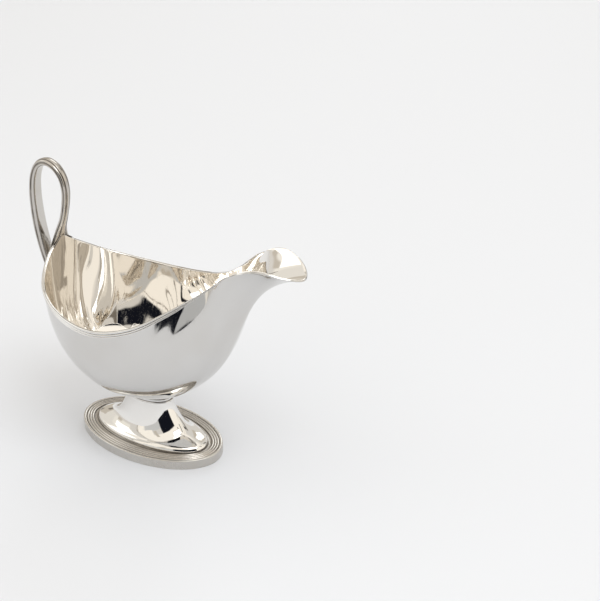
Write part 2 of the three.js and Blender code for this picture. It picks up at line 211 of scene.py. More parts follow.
# Steps in the meshes.
AROUND_BOWL = 400
DOWN_BOWL = 90
OVER_LIP = 9
ACROSS_FLOOR = 24
AROUND_FOOT = 320
UP_TRUMPET = 70
ALONG_HANDLE = 200
ACROSS_STRAP = 14
AROUND_PAD = 72
ALONG_SOLDER = 60
AROUND_SOLDER = 12
REED_STEPS = 10
HALVINGS = 26
SHARP_ANGLE = math.radians(50)


# ------------------------------------------------------------------ curves and lists


def catmull_rom(points, per_span=120):
    """A dense centripetal Catmull-Rom line through the points, in any number of dimensions."""
    points = np.asarray(points, float)
    padded = np.vstack([2 * points[0] - points[1], points, 2 * points[-1] - points[-2]])
    share = np.linspace(0, 1, per_span, endpoint=False)[:, None]
    spans = []
    for p0, p1, p2, p3 in zip(padded, padded[1:], padded[2:], padded[3:]):
        d0, d1, d2 = (math.sqrt(np.linalg.norm(b - a)) for a, b in ((p0, p1), (p1, p2), (p2, p3)))
        leave = ((p1 - p0) / d0 - (p2 - p0) / (d0 + d1) + (p2 - p1) / d1) * d1
        arrive = ((p2 - p1) / d1 - (p3 - p1) / (d1 + d2) + (p3 - p2) / d2) * d1
        square = 3 * (p2 - p1) - 2 * leave - arrive
        cube = 2 * (p1 - p2) + leave + arrive
        spans.append(p1 + leave * share + square * share**2 + cube * share**3)
    return np.vstack([*spans, points[-1:]])


class Line:
    """A line of points that is read by its share of the whole length, from 0 to 1."""

    def __init__(self, points):
        self.points = catmull_rom(points)
        steps = np.linalg.norm(np.diff(self.points, axis=0), axis=1)
        self.length = steps.sum()
        self.shares = np.concatenate([[0], np.cumsum(steps)]) / self.length

    def at(self, share):
        columns = [np.interp(share, self.shares, column) for column in self.points.T]
        return np.stack(columns, -1)

    def heading(self, share, step=1e-3):
        run = self.at(np.clip(share + step, 0, 1)) - self.at(np.clip(share - step, 0, 1))
        return run / np.linalg.norm(run, axis=-1, keepdims=True)


def blend(values, share, before, beyond):
    """Catmull-Rom value from a list of even stations, with the values just outside its ends."""
    values = np.array([before, *values, beyond], float)
    place_on_list = np.clip(share, 0, 1) * (len(values) - 3)
    first = np.minimum(place_on_list.astype(int), len(values) - 4)
    s = place_on_list - first
    a, b, c, d = (values[first + k] for k in range(4))
    return b + 0.5 * s * (c - a + s * (2 * a - 5 * b + 4 * c - d + s * (3 * (b - c) + d - a)))


def smoothstep(low, high, value):
    t = np.clip((value - low) / (high - low), 0, 1)
    return t * t * (3 - 2 * t)


def unit(vectors):
    return vectors / np.linalg.norm(vectors, axis=-1, keepdims=True)


# ------------------------------------------------------------------ the bowl's wall

half_rim = np.array(RIM_EDGE, float)
rim_line = Line(np.vstack([half_rim, half_rim[-2::-1] * (1, -1, 1)]))


def setting(name, along):
    """One of the wall's settings at `along`, from 0 at the peak to 1 at the tip of the lip."""
    values = WALL[name]
    if name == "bearing":
        return blend(values, along, 360 - values[1], -values[-2])
    return blend(values, along, values[1], values[-2])


def wall(around, down):
    """Points on the outside of the bowl."""
    around, down = np.broadcast_arrays(np.asarray(around, float), np.asarray(down, float))
    turn = np.mod(around, 2)
    along = np.where(turn > 1, 2 - turn, turn)
    side = np.where(turn > 1, -1.0, 1.0)
    edge = rim_line.at(along / 2)
    step = 3e-3
    run = rim_line.at(along / 2 + step) - rim_line.at(np.abs(along / 2 - step)) * mirror(along, step)
    out = unit(np.stack([-run[..., 1], run[..., 0]], -1))
    out[..., 1] = np.where((along <= 0) | (along >= 1), 0, out[..., 1])
    out = unit(out)
    angle = np.radians(setting("bearing", along))
    neck_out = np.stack([np.cos(angle), np.sin(angle)], -1)
    neck = np.stack(
        [NECK[0] * neck_out[..., 0], NECK[1] * neck_out[..., 1], np.full(along.shape, BOWL_BOTTOM)], -1
    )
    from_rim = edge.copy()
    from_rim[..., :2] += out * setting("outward", along)[..., None]
    from_rim[..., 0] += setting("forward", along)
    from_rim[..., 2] -= setting("down", along)
    from_neck = neck.copy()
    from_neck[..., :2] += neck_out * setting("reach", along)[..., None]
    from_neck[..., 2] += setting("lift", along)
    v = down[..., None]
    w = 1 - v
    points = w**3 * edge + 3 * w**2 * v * from_rim + 3 * w * v**2 * from_neck + v**3 * neck
    points[..., 1] *= side
    return points


def mirror(along, step):
    """Flips Y where a step back from `along` would pass the peak."""
    flip = np.ones((*along.shape, 3))
    flip[..., 1] = np.where(along / 2 < step, -1, 1)
    return flip


def wall_normal(around, down):
    """Outward unit normals of the wall."""
    step = 1e-3
    round_bowl = wall(around + step, down) - wall(around - step, down)
    fall = wall(around, np.minimum(down + step, 1)) - wall(around, down - step)
    return unit(np.cross(round_bowl, fall))


def down_by(around, distance):
    """The `down` that lies this many millimetres below the rim."""
    near = 0.02
    speed = np.linalg.norm(wall(around, near) - wall(around, 0), axis=-1) / near
    return distance / speed


def dents(points):
    """Slow waves left in hand-raised sheet, from -1 to 1."""
    x, y, z = points[..., 0], points[..., 1], points[..., 2]
    waves = (
        np.sin(x / 3.9 + y / 7.1 + 0.4)
        + np.sin(y / 4.3 - z / 5.3 + 1.9)
        + np.sin(z / 3.7 + x / 8.3 + 4.1)
        + np.sin((x - z) / 2.9 + 2.6) * 0.6
    )
    return waves / 3.6


# ------------------------------------------------------------------ meshes


def place(points):
    """Millimetres about the foot's middle to the frame's metres."""
    return np.asarray(points, float) * MM + (FOOT_MIDDLE, 0, 0)


def signed_volume(points, faces):
    corners = points[np.array([face[:3] for face in faces])]
    total = np.einsum("ij,ij->i", corners[:, 0], np.cross(corners[:, 1], corners[:, 2])).sum()
    quads = np.array([face for face in faces if len(face) == 4])
    if len(quads):
        a, c, d = points[quads[:, 0]], points[quads[:, 2]], points[quads[:, 3]]
        total += np.einsum("ij,ij->i", a, np.cross(c, d)).sum()
    return total


def body_from_rows(name, rows, ring=False, groove=0.0, inner=0.0):
    """A closed mesh from rows of points, each row a closed loop of the same count.

    Without `ring` the first and last rows are closed by a fan of triangles. `groove` gives
    each point a value from 0 on open metal to 1 at its darkest, for oxidised creases and for
    painted shade, and `inner` is 1 on the lining of the bowl, both for the material.
    """
    rows = np.asarray(rows, float)
    count, columns = rows.shape[:2]
    points = rows.reshape(-1, 3)
    index = np.arange(count * columns).reshape(count, columns)
    lower = index if ring else index[:-1]
    upper = np.roll(index, -1, axis=0) if ring else index[1:]
    quads = np.stack([lower, np.roll(lower, -1, 1), np.roll(upper, -1, 1), upper], -1)
    faces = quads.reshape(-1, 4).tolist()
    shades = {"groove": groove, "inner": inner}
    for key, value in shades.items():
        shades[key] = np.broadcast_to(value, rows.shape[:2]).reshape(-1)
    if not ring:
        for row, turned in ((index[0], True), (index[-1], False)):
            points = np.vstack([points, points[row].mean(0)])
            shades = {key: np.append(value, value[row].mean()) for key, value in shades.items()}
            hub = len(points) - 1
            for a, b in zip(row, np.roll(row, -1)):
                faces.append((hub, int(b), int(a)) if turned else (hub, int(a), int(b)))
    if signed_volume(points, faces) < 0:
        faces = [face[::-1] for face in faces]
    mesh = bpy.data.meshes.new(name)
    mesh.from_pydata(place(points).tolist(), [], faces)
    for key, value in shades.items():
        mesh.attributes.new(key, "FLOAT", "POINT").data.foreach_set("value", value)
    mesh.shade_smooth()
    mesh.set_sharp_from_angle(angle=SHARP_ANGLE)
    mesh.update()
    piece = bpy.data.objects.new(name, mesh)
    bpy.context.scene.collection.objects.link(piece)
    return piece


def finish_piece(piece, material, slot, *nodes):
    piece.data.materials.append(material)
    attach(piece, BODY)
    if nodes:
        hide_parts(*nodes)


# ------------------------------------------------------------------ bowl


def bowl():
    """The sheet: its underside, up the outside, over the lip, down the lining, across the floor."""
    around = np.linspace(0, 2, AROUND_BOWL, endpoint=False)
    lip = BOWL_WALL / 2
    rows = [wall(around, 1) * (size, size, 1) for size in BOTTOM_RINGS]
    for down in np.linspace(1, LIP_ENDS, DOWN_BOWL):
        points = wall(around, down)
        points += wall_normal(around, down) * (dents(points) * OUTER_DENT)[:, None]
        rows.append(points)
    edge = wall(around, 0)
    out = wall_normal(around, np.zeros(AROUND_BOWL))
    fall = unit(wall(around, 0.02) - edge)
    middle = edge - out * lip + fall * lip
    for turn in np.linspace(0, math.pi, OVER_LIP):
        rows.append(middle + out * lip * math.cos(turn) - fall * lip * math.sin(turn))
    lining_from = len(rows) - (OVER_LIP + 1) // 2
    for down in np.linspace(LIP_ENDS, FLOOR_FROM, DOWN_BOWL):
        points = wall(around, down)
        points += wall_normal(around, down) * (dents(points) * INNER_DENT - BOWL_WALL)[:, None]
        rows.append(points)
    end = rows[-1]
    slope = unit(rows[-1] - rows[-2])
    centre = np.array([0, 0, BOWL_BOTTOM + BOWL_WALL])
    reach = np.linalg.norm(end - centre, axis=1)[:, None] / 3
    flat = centre + (end - centre) * (1, 1, 0) / 3
    leave = end + slope * reach
    for v in np.linspace(0, 0.97, ACROSS_FLOOR)[1:]:
        w = 1 - v
        rows.append(w**3 * end + 3 * w**2 * v * leave + 3 * w * v**2 * flat + v**3 * centre)
    lining = np.arange(len(rows)) >= lining_from
    return body_from_rows("bowl_shell", rows, inner=lining[:, None].astype(float))


# ------------------------------------------------------------------ reeded wire round the rim


def rim_wire_section():
    """(distance below the rim, stand-off, groove) for the wire at full size.

    The wire's topmost edge is open metal. Below it the reeds darken towards their creases.
    """
    section = []
    top = -RIM_WIRE_RISE
    for radius in RIM_REED_RADII:
        for k in range(REED_STEPS + 1):
            turn = math.pi * k / REED_STEPS
            crease = max(0.0, 1 - 1.1 * math.sin(turn)) if section else 0
            section.append((top + radius * (1 - math.cos(turn)), radius * math.sin(turn), crease))
        top += 2 * radius
    return section


def rim_wire(name, first, last):
    """One half of the wire, between two places round the bowl."""
    around = np.linspace(first, last, AROUND_BOWL // 2 + 1)
    along = np.where(around > 1, 2 - around, around)
    scale = 1 + (LIP_WIRE_SCALE - 1) * smoothstep(*WIRE_NARROWS, along)
    columns = []
    shade = []
    for below, stand, crease in rim_wire_section():
        down = down_by(around, below * scale)
        offset = (stand * scale - SINK / 2)[:, None]
        columns.append(wall(around, down) + wall_normal(around, down) * offset)
        shade.append(crease)
    height = 2 * sum(RIM_REED_RADII)
    for below in (height, 0):
        down = down_by(around, below * scale)
        columns.append(wall(around, down) - wall_normal(around, down) * 3 * SINK)
        shade.append(1)
    rows = np.stack(columns, 1)
    return body_from_rows(name, rows, groove=np.array(shade))


# ------------------------------------------------------------------ handle

handle_line = Line(HANDLE_LINE)


def handle_span(share):
    """Width and thickness of the strap, with the spread root worked in."""
    distance = share * handle_line.length
    spread = np.clip(1 - (distance - ROOT_FOOT) / ROOT_SPREAD, 0, 1) ** ROOT_CURVE
    width = blend(HANDLE_WIDTH, share, HANDLE_WIDTH[0], HANDLE_WIDTH[-1])
    thick = blend(HANDLE_THICK, share, HANDLE_THICK[0], HANDLE_THICK[-1])
    return width + (ROOT_WIDTH - width) * spread, thick + (ROOT_THICK - thick) * spread


def handle_section():
    """(across, out, groove) as shares of width and thickness: reeds outside, a low crown inside."""
    count = HANDLE_REEDS * REED_STEPS
    section = []
    for k in range(count + 1):
        hump = math.sin(math.pi * ((k / REED_STEPS) % 1))
        ridge = REED_GROOVE + REED_RISE * hump**0.7
        turn = -HANDLE_WRAP + (math.pi + 2 * HANDLE_WRAP) * k / count
        side = math.copysign(abs(math.cos(turn)) ** HANDLE_FULLNESS, math.cos(turn))
        if math.sin(turn) > 0:
            rise = math.sin(turn) ** HANDLE_FULLNESS * ridge
            out = HANDLE_WIDEST + (0.5 - HANDLE_WIDEST) * rise
        else:
            out = HANDLE_WIDEST + (0.5 + HANDLE_WIDEST) * math.sin(turn) / math.sin(HANDLE_WRAP)
        # Groove value, highest in the creases between reeds: partly oxidised hollows, partly painted
        # shade, made wide so that the reeds look shaded.
        crease = 1 - hump**1.3 if 0 < k < count else 0
        section.append((-side * ridge / 2, out, crease))
    inner_half = section[0][0]
    for across in np.linspace(-inner_half, inner_half, ACROSS_STRAP)[1:-1]:
        crown = INNER_CROWN * (1 - (across / inner_half) ** 2)
        section.append((across, -0.5 - crown, 0))
    return np.array(section)


def handle_point(share, across, out):
    """A point on the strap, for shares of its width and thickness."""
    width, thick = handle_span(share)
    middle = handle_line.at(share)
    heading = handle_line.heading(share)
    rise = out * thick
    x = middle[..., 0] + heading[..., 1] * rise
    z = middle[..., 1] - heading[..., 0] * rise
    return np.stack([x, across * width, z], -1)


def rim_height_at(across):
    """Height of the rim's edge near the peak."""
    edge = wall(np.linspace(0, 0.2, 80), 0)
    return np.interp(np.abs(across), edge[:, 1], edge[:, 2])


def halve(too_small, low, high):
    """Repeated halving, point by point, of the value at which too_small turns false."""
    for _ in range(HALVINGS):
        middle = (low + high) / 2
        small = too_small(middle)
        low = np.where(small, middle, low)
        high = np.where(small, high, middle)
    return low


def back_point(across, height, stand):
    """The point that stands this far off the back of the bowl, at a place across and a height."""
    across, height = np.broadcast_arrays(np.asarray(across, float), np.asarray(height, float))
    zero = np.zeros(across.shape)
    one = np.ones(across.shape)

    def depth(around):
        return halve(lambda down: wall(around, down)[..., 2] > height, zero, one)

    def too_narrow(around):
        return wall(around, depth(around))[..., 1] < np.abs(across)

    around = halve(too_narrow, zero, BACK_OF_BOWL * one)
    down = depth(around)
    point = wall(around, down) + wall_normal(around, down) * np.asarray(stand)[..., None]
    point[..., 1] = np.copysign(point[..., 1], across)
    return point


def handle():
    """The strap, cut off just inside the rim's peak above and in the pad's face below."""
    across, out, crease = handle_section().T
    zero = np.zeros(across.shape)
    one = np.ones(across.shape)

    def below_rim(share):
        point = handle_point(share, across, out)
        return point[:, 2] < rim_height_at(point[:, 1]) - SINK

    def clear_of_pad(share):
        point = handle_point(share, across, out)
        height = np.clip(point[:, 2], PAD_MIDDLE - PAD_REACH, PAD_MIDDLE + PAD_REACH)
        face = back_point(point[:, 1], height, PAD_THICK - 2 * SINK)
        return point[:, 0] < face[:, 0]

    start = halve(below_rim, zero, ROOT_WITHIN * one)
    end = halve(clear_of_pad, PAD_BEYOND * one, one)
    rows = []
    shade = []
    for k in range(ALONG_HANDLE + 1):
        share = (k / ALONG_HANDLE) ** 1.2
        place_along = start + (end - start) * share
        rows.append(handle_point(place_along, across, out))
        # Dark at the root: partly the seam, partly a painted shadow line where the root meets the rim.
        joint_shadow = math.exp(-share * handle_line.length / JOINT_SHADOW_FADE)
        # The reeds get darker towards the handle's lower end.
        reeds = REED_TARNISH + REED_DARKENING_GAIN * share
        tarnish = np.where(crease > 0, reeds, FACE_TARNISH)
        shade.append(np.maximum(np.maximum(crease, tarnish), joint_shadow))
    return body_from_rows("handle_strap", rows, groove=np.array(shade))


def pad():
    """Thin oval plate with a soft edge, between the handle's lower end and the bowl.

    Its rings are (size, stand-off) as shares of its half size and its thickness: a back that is
    sunk into the bowl, a low edge, a rounding and a nearly flat face.
    """
    turn = np.linspace(0, 2 * math.pi, AROUND_PAD, endpoint=False)
    low_edge = 0.35
    rings = [(size, -SINK / PAD_THICK) for size in (0.2, 0.6, 1)]
    rings.append((1, low_edge))
    for angle in np.linspace(math.pi / 2, 0, 7):
        rings.append((1 - 0.09 * (1 - math.sin(angle)), low_edge + 0.5 * math.cos(angle)))
    rings += [(0.7, 0.96), (0.4, 1), (0.15, 1)]
    rows = []
    for size, stand in rings:
        across = PAD_WIDTH / 2 * size * np.cos(turn)
        height = PAD_MIDDLE + PAD_HEIGHT / 2 * size * np.sin(turn)
        rows.append(back_point(across, height, np.full(turn.shape, stand * PAD_THICK)))
    return body_from_rows("handle_pad", rows)


def solder_shadow_line(name, points, radius):
    """A fine soldered fillet along a line, coloured fully dark as painted shadow."""
    line = Line(points)
    shares = np.linspace(0, 1, ALONG_SOLDER)
    centres = line.at(shares)
    heading = line.heading(shares)
    side = unit(np.cross(heading, (1, 0, 0)))
    up = np.cross(side, heading)
    turns = np.linspace(0, 2 * math.pi, AROUND_SOLDER, endpoint=False)
    rows = []
    for centre, sideways, upward in zip(centres, side, up):
        circle = np.outer(np.cos(turns), sideways) + np.outer(np.sin(turns), upward)
        rows.append(centre + radius * circle)
    # Groove 1 all over: the fillet takes the full dark used for oxidised hollows and painted shade.
    return body_from_rows(name, rows, groove=1.0)


# ------------------------------------------------------------------ foot

EDGE = FOOT_LENGTH / 2


def foot_oval(half):
    """Half width of the oval whose half length is `half`."""
    shoulder = EDGE - BORDER_WIDTH
    if half < shoulder:
        inward = (shoulder - half) / (shoulder - NECK[0])
        widest = FOOT_WIDTH / 2 - BORDER_WIDTH
        return widest + (NECK[1] - widest) * inward
    return FOOT_WIDTH / 2 - (EDGE - half)


def foot_ring(name, section, groove=0.0, dent=0.0):
    """A ring whose cross-section is a closed list of (half length, height).

    `groove` is one value for the whole ring, or one for each point of the cross-section.
    """
    turn = np.linspace(0, 2 * math.pi, AROUND_FOOT, endpoint=False)
    rows = []
    for half, height in section:
        cross = foot_oval(half)
        row = np.stack([half * np.cos(turn), cross * np.sin(turn), np.full(turn.shape, height)], -1)
        row[:, 2] += dents(row) * dent
        rows.append(row)
    return body_from_rows(name, rows, ring=True, groove=np.reshape(groove, (-1, 1)))


def arc(middle, radius, first, last, steps):
    """Points of an arc in (half length, height), between angles in degrees."""
    angles = np.radians(np.linspace(first, last, steps))
    return [(middle[0] + radius * math.cos(a), middle[1] + radius * math.sin(a)) for a in angles]


def base_band():
    """The upright band: rounded lower edge, plain face, low round top, plain inside."""
    radius = BAND_THICK / 2
    spring = BAND_HEIGHT - BAND_CROWN
    round_top = arc((EDGE - radius, spring), radius, 0, 180, 17)
    top = [(x, spring + (z - spring) * BAND_CROWN / radius) for x, z in round_top]
    edge_middle = (EDGE - BAND_EDGE_RADIUS, BAND_EDGE_RADIUS)
    lower_edge = arc(edge_middle, BAND_EDGE_RADIUS, -90, 0, 5)
    upper = BAND_HEIGHT - 0.8
    face = [(EDGE, height) for height in np.linspace(0.6, upper, 6)]
    inside = [(EDGE - BAND_THICK, height) for height in np.linspace(upper, 0.1, 5)]
    return foot_ring("foot_band", [*lower_edge, *face, *top, *inside])


def reeded_border():
    """A flat ring with reeds on its outer part and a plain, shallow hollow inside them."""
    outer = EDGE - BAND_THICK + SINK
    inner = EDGE - BORDER_WIDTH - SINK
    bottom = FLANGE_TOP - SINK
    seat = FLANGE_TOP + NODE_GAP + BORDER_SEAT
    section = [(outer, bottom), (outer, seat)]
    shade = [1, 1]
    for count in range(BORDER_REEDS):
        middle = outer - SINK - NODE_GAP - BORDER_REED * (2 * count + 1)
        for x, z in arc((middle, seat), BORDER_REED, 0, 180, REED_STEPS + 3):
            section.append((x, z))
            shade.append(max(0.0, 1 - 1.15 * (z - seat) / BORDER_REED))
    last = section[-1][0]
    for share in (0.15, 0.5, 0.85):
        section.append((last + (inner - last) * share, seat - 0.06))
        shade.append(1 - 0.75 * math.sin(math.pi * share))
    section += [(inner, seat), (inner, bottom)]
    shade += [1, 1]
    return foot_ring("foot_border", section, groove=shade)


def pedestal():
    """The trumpet and its flat flange, as one sheet of even thickness."""
    flange = [(EDGE - BAND_THICK + SINK, FLANGE_TOP), (EDGE - BORDER_WIDTH, FLANGE_TOP)]
    top = np.vstack([flange, Line(TRUMPET_LINE).at(np.linspace(0, 1, UP_TRUMPET))])
    run = np.gradient(top, axis=0)
    run /= np.linalg.norm(run, axis=1)[:, None]
    under = top + np.stack([-run[:, 1], run[:, 0]], 1) * FOOT_WALL
    under[0] = top[0] - (0, FOOT_WALL)
    under[1] = top[1] - (FOOT_WALL, FOOT_WALL)
    fading = np.exp(-np.arange(UP_TRUMPET) / 1.5)
    crease = np.concatenate([[1, 1], fading, np.zeros(len(under))])
    section = np.vstack([top, under[::-1]])
    return foot_ring("foot_trumpet", section, groove=crease, dent=FOOT_DENT)


def creased_ends(points):
    """Groove values for a run of points with a crease at each end."""
    return [COLLAR_CREASE, *[0.0] * (len(points) - 2), COLLAR_CREASE]


def collar():
    """A short ring with a fine bead at its foot and its top, and a shallow hollow between."""
    face = NECK[0] - 0.1
    top = BOWL_BOTTOM + SINK
    low = COLLAR_BOTTOM - SINK
    bead = arc((face - 0.05, low + 0.5), COLLAR_BEAD, -80, 80, 9)
    hollow = [(face - 0.22, low + 1.25), (face - 0.3, low + 1.9), (face - 0.2, top - 1.2)]
    ridge = arc((face + 0.02, top - 0.5), COLLAR_BEAD, -70, 70, 9)
    outside = [*bead, *hollow, *ridge, (face - 0.3, top)]
    section = [(face - COLLAR_DEPTH, low), *outside, (face - COLLAR_DEPTH, top)]
    shade = [0.0, *creased_ends(bead), *creased_ends(hollow), *creased_ends(ridge)]
    shade += [COLLAR_CREASE, 0.0]
    return foot_ring("foot_collar_ring", section, groove=shade)


# ------------------------------------------------------------------ silver


class Nodes:
    """Short calls for building one material's or world's node tree."""

    def __init__(self, tree):
        self.tree = tree

    def add(self, kind, inputs=None, **settings):
        node = self.tree.nodes.new(kind)
        for key, value in settings.items():
            setattr(node, key, value)
        for key, value in (inputs or {}).items():
            if isinstance(value, bpy.types.NodeSocket):
                self.tree.links.new(value, node.inputs[key])
            else:
                node.inputs[key].default_value = value
        return node

    def maths(self, operation, *values):
        return self.add("ShaderNodeMath", dict(enumerate(values)), operation=operation).outputs[0]

    def mapped(self, value, low, high, to_low, to_high):
        inputs = {0: value, 1: low, 2: high, 3: to_low, 4: to_high}
        return self.add("ShaderNodeMapRange", inputs, interpolation_type="SMOOTHSTEP").outputs[0]

    def mixed(self, share, first, second):
        inputs = {0: share, 6: first, 7: second}
        return self.add("ShaderNodeMix", inputs, data_type="RGBA").outputs[2]


# The lining's silver is much brighter than the outside's: painted light on the inside of the one
# sheet, besides the lining's real smoother finish and lighter tarnish.
LINING_PAINTED_LIGHT_COLOUR = (0.91, 0.89, 0.86, 1)
LINING_ROUGHNESS = 0.025
LINING_STAIN = 0.25  # tarnish on the lining, against that outside
STAIN_COLOUR = (0.42, 0.36, 0.285, 1)
# The dark of oxidised hollows, also used as painted shade in the handle's reed creases and at its
# root.
OXIDE_AND_SHADE_COLOUR = (0.075, 0.06, 0.048, 1)
OXIDE_AND_SHADE_ROUGHNESS = 0.35
BLOOM_SCALE = 26
GLOSS_SCALE = 55
GLOSS_SPREAD = (0.75, 1.25)  # roughness where the gloss is best and worst, against the mean
OXIDE_AND_SHADE_SCALE = 140
WAVE_SCALE = 75
RUB_TURNS = ((0.3, 0.2, 0.5), (1.1, -0.6, 1.7), (-0.5, 0.9, 2.8))
RUB_SCALE = (1500, 90, 90)  # across the lines, and along them
RUB_DEPTH = -0.35  # against the height of the soft waves of polishing
BUMP_STRENGTH = 0.14
LINING_BUMP_STRENGTH = 0.06
BUMP_DISTANCE = 0.00006


def silver(name, colour, roughness, tarnish=0.1, rub=0.05):
    """Old polished silver.

    A soft bloom of tarnish, fine rubbing in three directions, slow changes of gloss, and a dark
    mix wherever the mesh's groove value is high: oxidised metal where a cloth doesn't reach, and
    painted shade in the handle's reed creases and along its root. The lining of the bowl is
    smoother, and brighter than the outside of the same sheet as painted light. `tarnish` is the
    bloom's strength, and `rub` is what the rubbing adds to the roughness.
    """
    material = bpy.data.materials.new(name)
    material.use_nodes = True
    nodes = Nodes(material.node_tree)
    shader = material.node_tree.nodes["Principled BSDF"]
    shader.inputs["Metallic"].default_value = 1.0
    where = nodes.add("ShaderNodeTexCoord").outputs["Object"]

    def noise(scale, detail, vector=where):
        inputs = {"Vector": vector, "Scale": scale, "Detail": detail}
        return nodes.add("ShaderNodeTexNoise", inputs).outputs["Fac"]

    bloom = nodes.mapped(noise(BLOOM_SCALE, 4), 0.42, 0.72, 0.0, 1.0)
    gloss = nodes.mapped(noise(GLOSS_SCALE, 3), 0.35, 0.7, 0.0, 1.0)
    rubbing = None
    for turn in RUB_TURNS:
        inputs = {"Vector": where, "Rotation": turn, "Scale": RUB_SCALE}
        stretched = nodes.add("ShaderNodeMapping", inputs).outputs[0]
        line = nodes.mapped(noise(1, 2, stretched), 0.62, 0.72, 0.0, 1.0)
        rubbing = line if rubbing is None else nodes.maths("MAXIMUM", rubbing, line)

    groove = nodes.add("ShaderNodeAttribute", attribute_name="groove").outputs["Fac"]
    uneven = nodes.mapped(noise(OXIDE_AND_SHADE_SCALE, 2), 0.3, 0.7, 0.65, 1.0)
    # Oxidised hollows and painted shade together: the handle's reed creases and the dark at its root
    # are painted shade.
    oxide_and_shade = nodes.maths("MULTIPLY", nodes.mapped(groove, 0.1, 0.9, 0.0, 0.95), uneven)
    stain = nodes.maths("MULTIPLY", bloom, tarnish)
    inner = nodes.add("ShaderNodeAttribute", attribute_name="inner").outputs["Fac"]
    stain = nodes.maths("MULTIPLY", stain, nodes.mapped(inner, 0.0, 1.0, 1.0, LINING_STAIN))
    # Bare silver, brightened in the lining as painted light.
    bare = nodes.mixed(inner, (*colour, 1), LINING_PAINTED_LIGHT_COLOUR)
    stained = nodes.mixed(stain, bare, STAIN_COLOUR)
    shader_colour = nodes.mixed(oxide_and_shade, stained, OXIDE_AND_SHADE_COLOUR)
    material.node_tree.links.new(shader_colour, shader.inputs["Base Color"])

    smoothness = nodes.mapped(inner, 0.0, 1.0, roughness, LINING_ROUGHNESS)
    rough = nodes.maths("MULTIPLY", smoothness, nodes.mapped(gloss, 0.0, 1.0, *GLOSS_SPREAD))
    rough = nodes.maths("MULTIPLY_ADD", rubbing, rub, rough)
    rough = nodes.maths("MULTIPLY_ADD", oxide_and_shade, OXIDE_AND_SHADE_ROUGHNESS, rough)
    material.node_tree.links.new(rough, shader.inputs["Roughness"])

    height = nodes.maths("MULTIPLY_ADD", rubbing, RUB_DEPTH, noise(WAVE_SCALE, 2))
    strength = nodes.mapped(inner, 0.0, 1.0, BUMP_STRENGTH, LINING_BUMP_STRENGTH)
    inputs = {"Strength": strength, "Distance": BUMP_DISTANCE, "Height": height}
    bump = nodes.add("ShaderNodeBump", inputs)
    material.node_tree.links.new(bump.outputs[0], shader.inputs["Normal"])
    return material


# ------------------------------------------------------------------ the pieces

# The bowl's outside gets a darker silver than its lining: partly tarnish, partly painted shade.
body_silver = silver("body_silver", (0.67, 0.66, 0.645), 0.07)
wire_silver = silver("wire_silver", (0.8, 0.79, 0.775), 0.08, tarnish=0.12)
handle_silver = silver("handle_silver", (0.62, 0.595, 0.56), 0.13, tarnish=0.35)
foot_silver = silver("foot_silver", (0.86, 0.845, 0.82), 0.04)
border_silver = silver("border_silver", (0.62, 0.595, 0.56), 0.14, tarnish=0.25)
band_silver = silver("band_silver", (0.62, 0.6, 0.57), 0.25, tarnish=0.2, rub=0.12)

finish_piece(bowl(), body_silver, "bowl_silver", "bowl")
for side, first in (("left", 0), ("right", 1)):
    wire = rim_wire(f"rim_wire_{side}", first + RIM_WIRE_GAP, first + 1 - RIM_WIRE_GAP)
    finish_piece(wire, wire_silver, "reeded_silver", f"rim_reeding_{side}")
finish_piece(handle(), handle_silver, "handle_silver", "handle_loop")
finish_piece(pad(), handle_silver, "handle_silver", "handle_lower_pad")
finish_piece(collar(), wire_silver, "collar_silver", "foot_collar")
finish_piece(pedestal(), foot_silver, "foot_silver", "foot_pedestal")
finish_piece(reeded_border(), border_silver, "border_silver", "foot_reeded_border")
finish_piece(base_band(), band_silver, "band_silver", "foot_base_band")

# A dark fillet along the handle's root at the rim: a painted shadow line, standing in for the shadow
# in the gap there.
root_line = []
for y in np.linspace(-ROOT_WIDTH / 2, ROOT_WIDTH / 2, 9):
    root_line.append((SOLDER_PLACE, y, rim_height_at(y) + SOLDER_RISE))
finish_piece(solder_shadow_line("peak_solder_shadow_line", root_line, SOLDER_RADIUS), handle_silver, "handle_silver")

# ------------------------------------------------------------------ floor, light and camera

CAMERA_PLACE = (400.3, -490.0, 443.9)
CAMERA_TURN = math.radians(31.65)  # left of +Y
CAMERA_TILT = math.radians(29.56)  # below level
CAMERA_LENS = 80.57
TABLE_EDGE = 0.65  # metres from the boat to the front edge of the white table
TABLE_REACH = 6.0  # metres from the boat to its sides and its back
TABLE_COLOUR = (0.78, 0.805, 0.86, 1)
LIGHT_COLOUR = (0.93, 0.97, 1.0)
BACKDROP = (0.9, 0.9, 0.9, 1)
OVERHEAD = (0.6, 1.4)  # radians above level over which the room turns from cream to warm white

# Name, place and side in metres, and power in watts.
LIGHTS = [
    ("key", (0.7, -0.25, 1.3), 0.8, 6),
    ("fill", (-1.1, -0.6, 0.8), 0.7, 0.9),
    ("rim_light", (-0.4, 1.2, 0.9), 0.6, 2),
]


def floor():
    """A white table that ends in a straight edge on the camera's side of the boat."""
    mesh = bpy.data.meshes.new("floor")
    near = np.array([math.sin(CAMERA_TURN), -math.cos(CAMERA_TURN)])
    right = np.array([math.cos(CAMERA_TURN), math.sin(CAMERA_TURN)])
    front = near * TABLE_EDGE
    back = -near * TABLE_REACH
    side = right * TABLE_REACH
    corners = [front - side, front + side, back + side, back - side]
    mesh.from_pydata([(*corner, 0) for corner in corners], [], [(0, 1, 2, 3)])
    plane = bpy.data.objects.new("floor", mesh)
    bpy.context.scene.collection.objects.link(plane)
    material = bpy.data.materials.new("floor_white")
    material.use_nodes = True
    shader = material.node_tree.nodes["Principled BSDF"]
    shader.inputs["Base Color"].default_value = TABLE_COLOUR
    shader.inputs["Roughness"].default_value = 0.8
    mesh.materials.append(material)


